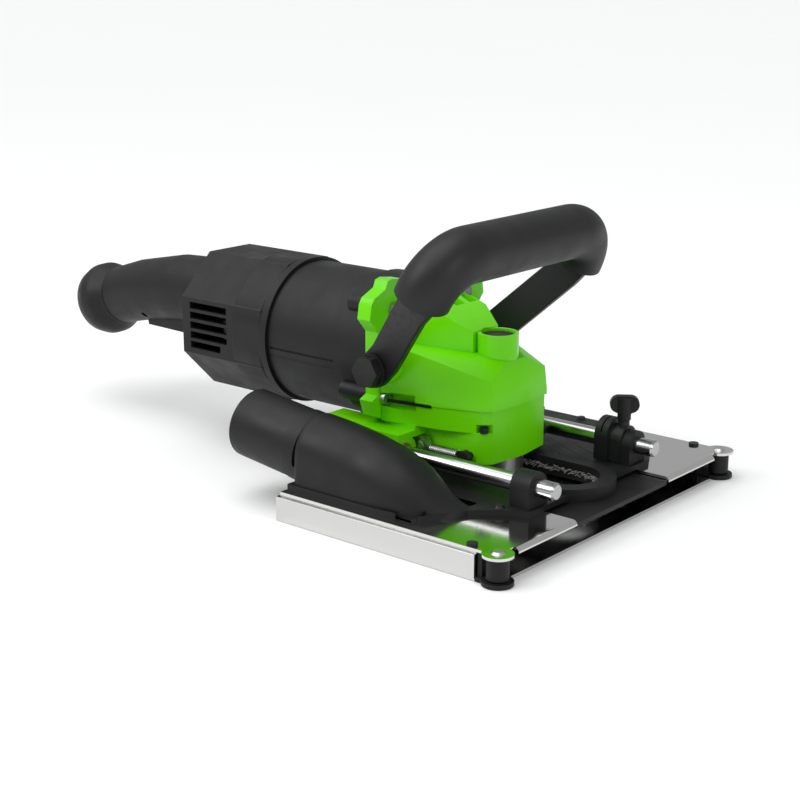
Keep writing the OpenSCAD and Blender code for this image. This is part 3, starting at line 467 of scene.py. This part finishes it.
# ---------------------------------------------------------------- guide rods
# Two ground and plated 10 mm rods, chamfered at both ends and held in the posts by
# grub screws. The spindle and the motor's shaft are ground from the same steel.
ground_rod = Finish("ground_rod", (0.44, 0.44, 0.44), 0.18, metallic=1.0)
lines = ground_rod.mask(200, 0.3, 0.7, vector=ground_rod.stretched((0.1, 1, 1)))
ground_rod.vary_rough(lines, 0.14, 0.26)
ground_rod = ground_rod.done()
paint(ground_rod, "guide_rod_near", "guide_rod_far", "spindle", "armature_shaft")

# ---------------------------------------------------------------- brushes
# Strips of stiff bristle close the slot at the front edge and the arbor window. The
# tufts are set in a row and fray at their tips.
bristle = Finish("bristle", (0.16, 0.155, 0.15), 0.8)
streaks = bristle.mask(1500, 0.3, 0.7, vector=bristle.stretched((1, 1, 0.1)))
bristle.tint(streaks, (0.4, 0.39, 0.37), 0.8)
bristle = bristle.done()
chance = random.Random(4)
TUFT_TAPER = 0.35
FRONT_TUFTS = 300
FRONT_TUFT_R = 0.00034
WINDOW_TUFTS = 420
WINDOW_TUFT_R = 0.00045


def bristle_tuft(form, root, tip, radius):
    """One tapered bristle bundle from its root to its free tip."""
    way = tip - root
    turn = way.to_track_quat("Z", "Y").to_matrix().to_4x4()
    bmesh.ops.create_cone(form, cap_ends=True, segments=5, radius1=radius,
                          radius2=radius * TUFT_TAPER, depth=way.length,
                          matrix=Matrix.Translation((root + tip) / 2) @ turn)


def finish_brush(form, name, node):
    """Makes one piece of all tufts of a brush; it stands for the CAD node."""
    piece = add_piece(name, form, bristle, smooth=True)
    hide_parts(node)
    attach(piece, "base")


low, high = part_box("front_brush")
form = bmesh.new()
for step in range(FRONT_TUFTS):
    y = low[1] + (high[1] - low[1]) * (step + 0.5) / FRONT_TUFTS
    x = low[0] + 0.0004 + 0.0012 * chance.random()
    drop = (high[2] - low[2]) * (0.72 + 0.28 * chance.random())
    lean = 0.0035 * chance.random() ** 2
    bristle_tuft(form, Vector((x, y, high[2])),
                 Vector((x + lean, y + 0.0012 * (chance.random() - 0.5), high[2] - drop)),
                 FRONT_TUFT_R)
finish_brush(form, "front_brush_bristles", "front_brush")

low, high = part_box("window_brush")
round_r = (high[1] - low[1]) / 2
form = bmesh.new()
straight = high[0] - low[0] - 2 * round_r
way_round = 2 * pi * round_r + 2 * straight


def at_window_edge(run):
    """The place on the window's rounded outline after a run, and the way inwards."""
    bend = pi * round_r
    if run < bend:
        turn = -pi / 2 + run / round_r
        centre_x = high[0] - round_r
    elif run < bend + straight:
        return Vector((high[0] - round_r - (run - bend), round_r, 0)), Vector((0, -1, 0))
    elif run < 2 * bend + straight:
        turn = pi / 2 + (run - bend - straight) / round_r
        centre_x = low[0] + round_r
    else:
        return (Vector((low[0] + round_r + run - 2 * bend - straight, -round_r, 0)),
                Vector((0, 1, 0)))
    outward = Vector((cos(turn), sin(turn), 0))
    return Vector((centre_x, 0, 0)) + round_r * outward, -outward


for step in range(WINDOW_TUFTS):
    foot, inward = at_window_edge(way_round * step / WINDOW_TUFTS)
    foot.z = low[2] + (high[2] - low[2]) * (0.25 + 0.5 * chance.random())
    reach = 0.0016 + 0.0026 * chance.random()
    tip = foot + inward * reach + Vector((0, 0, 0.0022 * (chance.random() - 0.35)))
    bristle_tuft(form, foot, tip, WINDOW_TUFT_R)
finish_brush(form, "window_brush_bristles", "window_brush")

# ---------------------------------------------------------------- depth stop
# A split steel collar slides on the far rod and is clamped by a wing screw. The
# carriage's sleeve runs against it and so sets the depth of cut.
softened("depth_stop", black_steel, 0.0005)
softened("depth_stop_screw", black_moulding, 0.0006)

# ---------------------------------------------------------------- return springs
# Two closely wound springs of 1.1 mm wire draw the motor unit back. Each hooks on a
# stud of the hood and on a bolt in the side of the carriage.
WIRE_R = 0.00055
COIL_PITCH = 2.12 * WIRE_R
STEPS_PER_TURN = 20
spring_wire = Finish("spring_wire", (0.50, 0.50, 0.49), 0.24, metallic=1.0)
spring_wire.tint(spring_wire.mask(400, 0.5, 0.8), (0.2, 0.2, 0.2), 0.7)
spring_wire = spring_wire.done()


def coil_spring(name, node):
    """A closed coil in the CAD spring's box, drawn out between box and motor unit."""
    low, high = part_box(node)
    coil_r = (high[2] - low[2]) / 2 - WIRE_R
    middle = Vector((0, (low[1] + high[1]) / 2, (low[2] + high[2]) / 2))
    run = high[0] - low[0] - 2 * WIRE_R
    turns = int(run / COIL_PITCH)
    steps = turns * STEPS_PER_TURN
    start = Matrix.Translation((low[0] + WIRE_R, middle.y, middle.z + coil_r))
    form = bmesh.new()
    ring = bmesh.ops.create_circle(form, cap_ends=False, segments=8, radius=WIRE_R,
                                   matrix=start @ Matrix.Rotation(pi / 2, 4, "X"))
    bmesh.ops.spin(form, geom=ring["verts"] + list(form.edges), cent=middle, axis=(1, 0, 0),
                   dvec=(run / steps, 0, 0), angle=2 * pi * turns, steps=steps,
                   use_merge=False, use_duplicate=False)
    close_ends(form)
    piece = add_piece(name, form, spring_wire, smooth=True)
    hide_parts(node)
    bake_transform(piece)


coil_spring("spring_coil_near", "return_spring_near")
coil_spring("spring_coil_far", "return_spring_far")

# ---------------------------------------------------------------- castings
# The carriage and the gear case are alloy castings, sprayed with a glossy lime paint.
# They meet in a level split; bearings, gears and flanges inside are plain turned steel.
lime_paint = Finish("lime_paint", (0.150, 0.68, 0.0), 0.34, coat=0.12, coat_rough=0.12)
lime_paint.shader.inputs["Specular IOR Level"].default_value = 0.2
lime_paint.vary_rough(lime_paint.mask(60, 0.3, 0.7), 0.26, 0.38)
lime_paint.tint(lime_paint.mask(30, 0.4, 0.8), (0.125, 0.62, 0.0), 0.6)
lime_paint.relief(lime_paint.mask(500, 0.2, 0.8, detail=2), 0.00002)
lime_paint = lime_paint.done()
softened("carriage_housing", lime_paint, 0.0012, segments=3)
softened("gear_case", lime_paint, 0.0022, segments=3)

# A black bar laid in the open part of the split on both flanks of the head is painted shade for
# the shadowed slot there.
split_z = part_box("carriage_housing")[1][2]
SHADE_BAR_SIZE = (0.0290, 0.0010, 0.0021)
SHADE_BAR_X = -0.0420
SHADE_BAR_Y = 0.04125
SHADE_BAR_SLANT = 0.179
SHADE_BAR_DROP = 0.0004
form = bmesh.new()
for side in (-1, 1):
    place = Matrix.Translation((SHADE_BAR_X, side * SHADE_BAR_Y, split_z - SHADE_BAR_DROP))
    slant = Matrix.Rotation(-side * SHADE_BAR_SLANT, 4, "Z")
    bmesh.ops.create_cube(form, size=1.0,
                          matrix=place @ slant @ Matrix.Diagonal((*SHADE_BAR_SIZE, 1)))
bmesh.ops.bevel(form, geom=list(form.edges), affect="EDGES", offset=0.00025, segments=2,
                profile=0.5, material=-1)
# The bar's black is painted shade standing in for the shadow in the split's slot.
split_shade = add_piece("split_painted_shade", form, black_moulding)
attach(split_shade, "motor_unit")

turned_alloy = Finish("turned_alloy", (0.6, 0.6, 0.6), 0.32, metallic=1.0)
lines = turned_alloy.mask(1500, 0.2, 0.8, vector=turned_alloy.stretched((0.05, 0.05, 1)))
turned_alloy.relief(lines, 0.000005)
turned_alloy = turned_alloy.done()
paint(turned_alloy, "bearing_cap", "inner_flange", "lower_bearing", "upper_bearing",
      "front_bearing", "rear_bearing", "crown_gear", "pinion", "clamp_nut", "blade")
softened("lock_button", black_moulding, 0.0004)

# The flat spring under the button, which closes up as the button goes down, is a plain copy with
# its own mesh that goes with the motor unit.
lock_mesh = nodes["lock_spring"].data.copy()
lock_mesh.materials.clear()
lock_mesh.materials.append(spring_wire)
lock_wire = bpy.data.objects.new("lock_spring_wire", lock_mesh)
scene.collection.objects.link(lock_wire)
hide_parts("lock_spring")
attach(lock_wire, "motor_unit")
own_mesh(lock_wire)

# Copper and bronze parts, and the stacked iron, are only seen with the motor open.
bronze = Finish("sintered_bronze", (0.5, 0.33, 0.16), 0.45, metallic=1.0)
bronze.relief(bronze.mask(2500, 0.2, 0.8), 0.00001)
bronze = bronze.done()
paint(bronze, "slide_bushes", "commutator", "field_coils")
laminations = Finish("laminations", (0.2, 0.2, 0.21), 0.5, metallic=0.8)
lines = laminations.mask(1800, 0.3, 0.7, vector=laminations.stretched((1, 0.05, 0.05)))
laminations.relief(lines, 0.00002)
laminations = laminations.done()
paint(laminations, "stator", "armature_core", "cooling_fan", "fan_baffle", "carbon_brushes",
      "switch_block")

# ---------------------------------------------------------------- motor
# Fine-grained glass-filled nylon: a round motor housing, an eight-sided rear housing
# with louvres, and a stick handle in two halves with a flared knob.
softened("motor_housing", black_moulding, 0.0008)
softened("rear_housing", black_moulding, 0.003, segments=4)

# A thicker eight-sided band with rounded corners laps the rear housing's front end.
rear_low, rear_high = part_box("rear_housing")
axis_z = (rear_low[2] + rear_high[2]) / 2
BAND_BACK_X = -0.1825
BAND_LENGTH = 0.0245
BAND_FLAT = 0.0454
BAND_CORNER = 0.011
BAND_WALL = 0.0022
BAND_EDGE = 0.0009
form = bmesh.new()
bmesh.ops.create_circle(form, cap_ends=True, segments=8, radius=BAND_FLAT / cos(pi / 8),
                        matrix=Matrix.Translation((BAND_BACK_X, 0, axis_z))
                        @ Matrix.Rotation(pi / 2, 4, "Y") @ Matrix.Rotation(pi / 8, 4, "Z"))
bmesh.ops.bevel(form, geom=list(form.verts), affect="VERTICES", offset=BAND_CORNER, segments=5,
                profile=0.5, material=-1)
bmesh.ops.delete(form, geom=list(form.faces), context="FACES_ONLY")
grown = bmesh.ops.extrude_edge_only(form, edges=list(form.edges))["geom"]
bmesh.ops.translate(form, vec=(BAND_LENGTH, 0, 0),
                    verts=[part for part in grown if isinstance(part, bmesh.types.BMVert)])
bmesh.ops.recalc_face_normals(form, faces=form.faces)
band = add_piece("rear_band", form, black_moulding, smooth=True)
wall = band.modifiers.new("wall", "SOLIDIFY")
wall.thickness = BAND_WALL
wall.offset = -1
round_edges(band, BAND_EDGE, segments=3, angle=40)
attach(band, "motor_unit")
softened("handle_near", black_moulding, 0.0005)
softened("handle_far", black_moulding, 0.0005)
softened("handle_knob", black_moulding, 0.0015, segments=3)
softened("trigger", black_moulding, 0.0008)

# ---------------------------------------------------------------- bail
# Two flat black steel arms, bolted to lugs on the gear case, carry a bent tube with a
# thick satin rubber grip. The bolts hold it where it is set.
softened("bail_arms", black_steel, 0.0008)
paint(black_steel, "bail_core", "bail_bolts")
rubber = Finish("grip_rubber", (0.011, 0.011, 0.0115), 0.44)
rubber.shader.inputs["Specular IOR Level"].default_value = 0.32
rubber.vary_rough(rubber.mask(55, 0.3, 0.7), 0.42, 0.56)
rubber.tint(rubber.mask(45, 0.5, 0.8), (0.016, 0.016, 0.0165), 0.6)
rubber.relief(rubber.mask(1600, 0.2, 0.8), 0.00001)
rubber = rubber.done()
softened("bail_grip", rubber, 0.003, segments=3)

# ---------------------------------------------------------------- floor finish
pale_floor = Finish("pale_floor", (0.92, 0.92, 0.92), 0.7)
pale_floor.tint(pale_floor.mask(3, 0.4, 0.6), (0.91, 0.91, 0.91), 0.4)
floor.data.materials.append(pale_floor.done())

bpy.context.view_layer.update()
